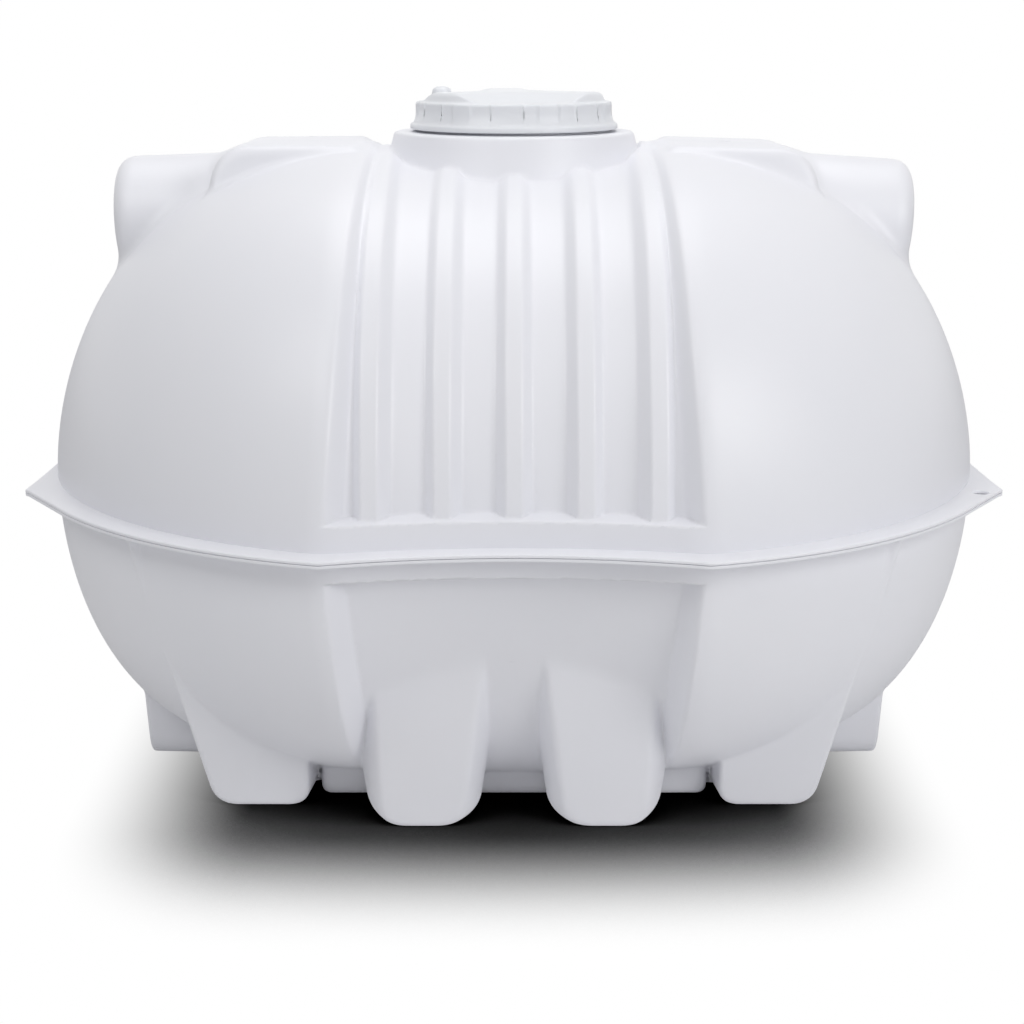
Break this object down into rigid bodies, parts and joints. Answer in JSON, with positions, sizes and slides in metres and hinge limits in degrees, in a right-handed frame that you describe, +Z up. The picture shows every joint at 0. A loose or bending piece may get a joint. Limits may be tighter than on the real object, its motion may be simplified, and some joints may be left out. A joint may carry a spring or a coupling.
{
  "type": "horizontal water tank",
  "caption": "Horizontal water tank with domed ends, a ribbed waist, a flange round the middle, a screwed manhole lid on top and moulded feet below.",
  "frame": {"origin": "on the ground under the middle of the tank", "axes": "+X along the tank to the right seen from the front, +Y to the back, +Z up"},
  "size_m": [2.2096, 2.0212, 1.5386],
  "materials": {
    "tank_plastic": "smooth satin moulded polyethylene, white",
    "foot_plastic": "smooth satin moulded polyethylene, white, slightly scuffed",
    "lid_plastic": "smooth injection moulded polypropylene, white",
    "seal_rubber": "plain black sealing rubber"
  },
  "bodies": {
    "tank": {"base_tray": "foot_plastic", "corner_foot_back_left": "foot_plastic", "corner_foot_back_right": "foot_plastic", "corner_foot_front_left": "foot_plastic", "corner_foot_front_right": "foot_plastic", "end_foot_back_left": "foot_plastic", "end_foot_back_right": "foot_plastic", "end_foot_front_left": "foot_plastic", "end_foot_front_right": "foot_plastic", "lid_seal": "seal_rubber", "lower_bowl_left": "tank_plastic", "lower_bowl_right": "tank_plastic", "lower_flange": "tank_plastic", "lower_waist": "tank_plastic", "manhole_collar": "tank_plastic", "middle_foot_back_left": "foot_plastic", "middle_foot_back_right": "foot_plastic", "middle_foot_front_left": "foot_plastic", "middle_foot_front_right": "foot_plastic", "pad_left": "tank_plastic", "pad_right": "tank_plastic", "pipe_boss_left": "tank_plastic", "pipe_boss_right": "tank_plastic", "upper_dome_left": "tank_plastic", "upper_dome_right": "tank_plastic", "upper_flange": "tank_plastic", "upper_waist": "tank_plastic"},
    "lid": {"manhole_lid": "lid_plastic", "lid_crown": "lid_plastic", "vent_stem": "lid_plastic", "vent_cap": "lid_plastic"}
  },
  "joints": [
    {"name": "lid_turn", "type": "hinge", "parent": "tank", "child": "lid", "pos_m": [0, 0, 1.45], "axis": [0, 0, 1], "range_deg": [0, 180]}
  ]
}
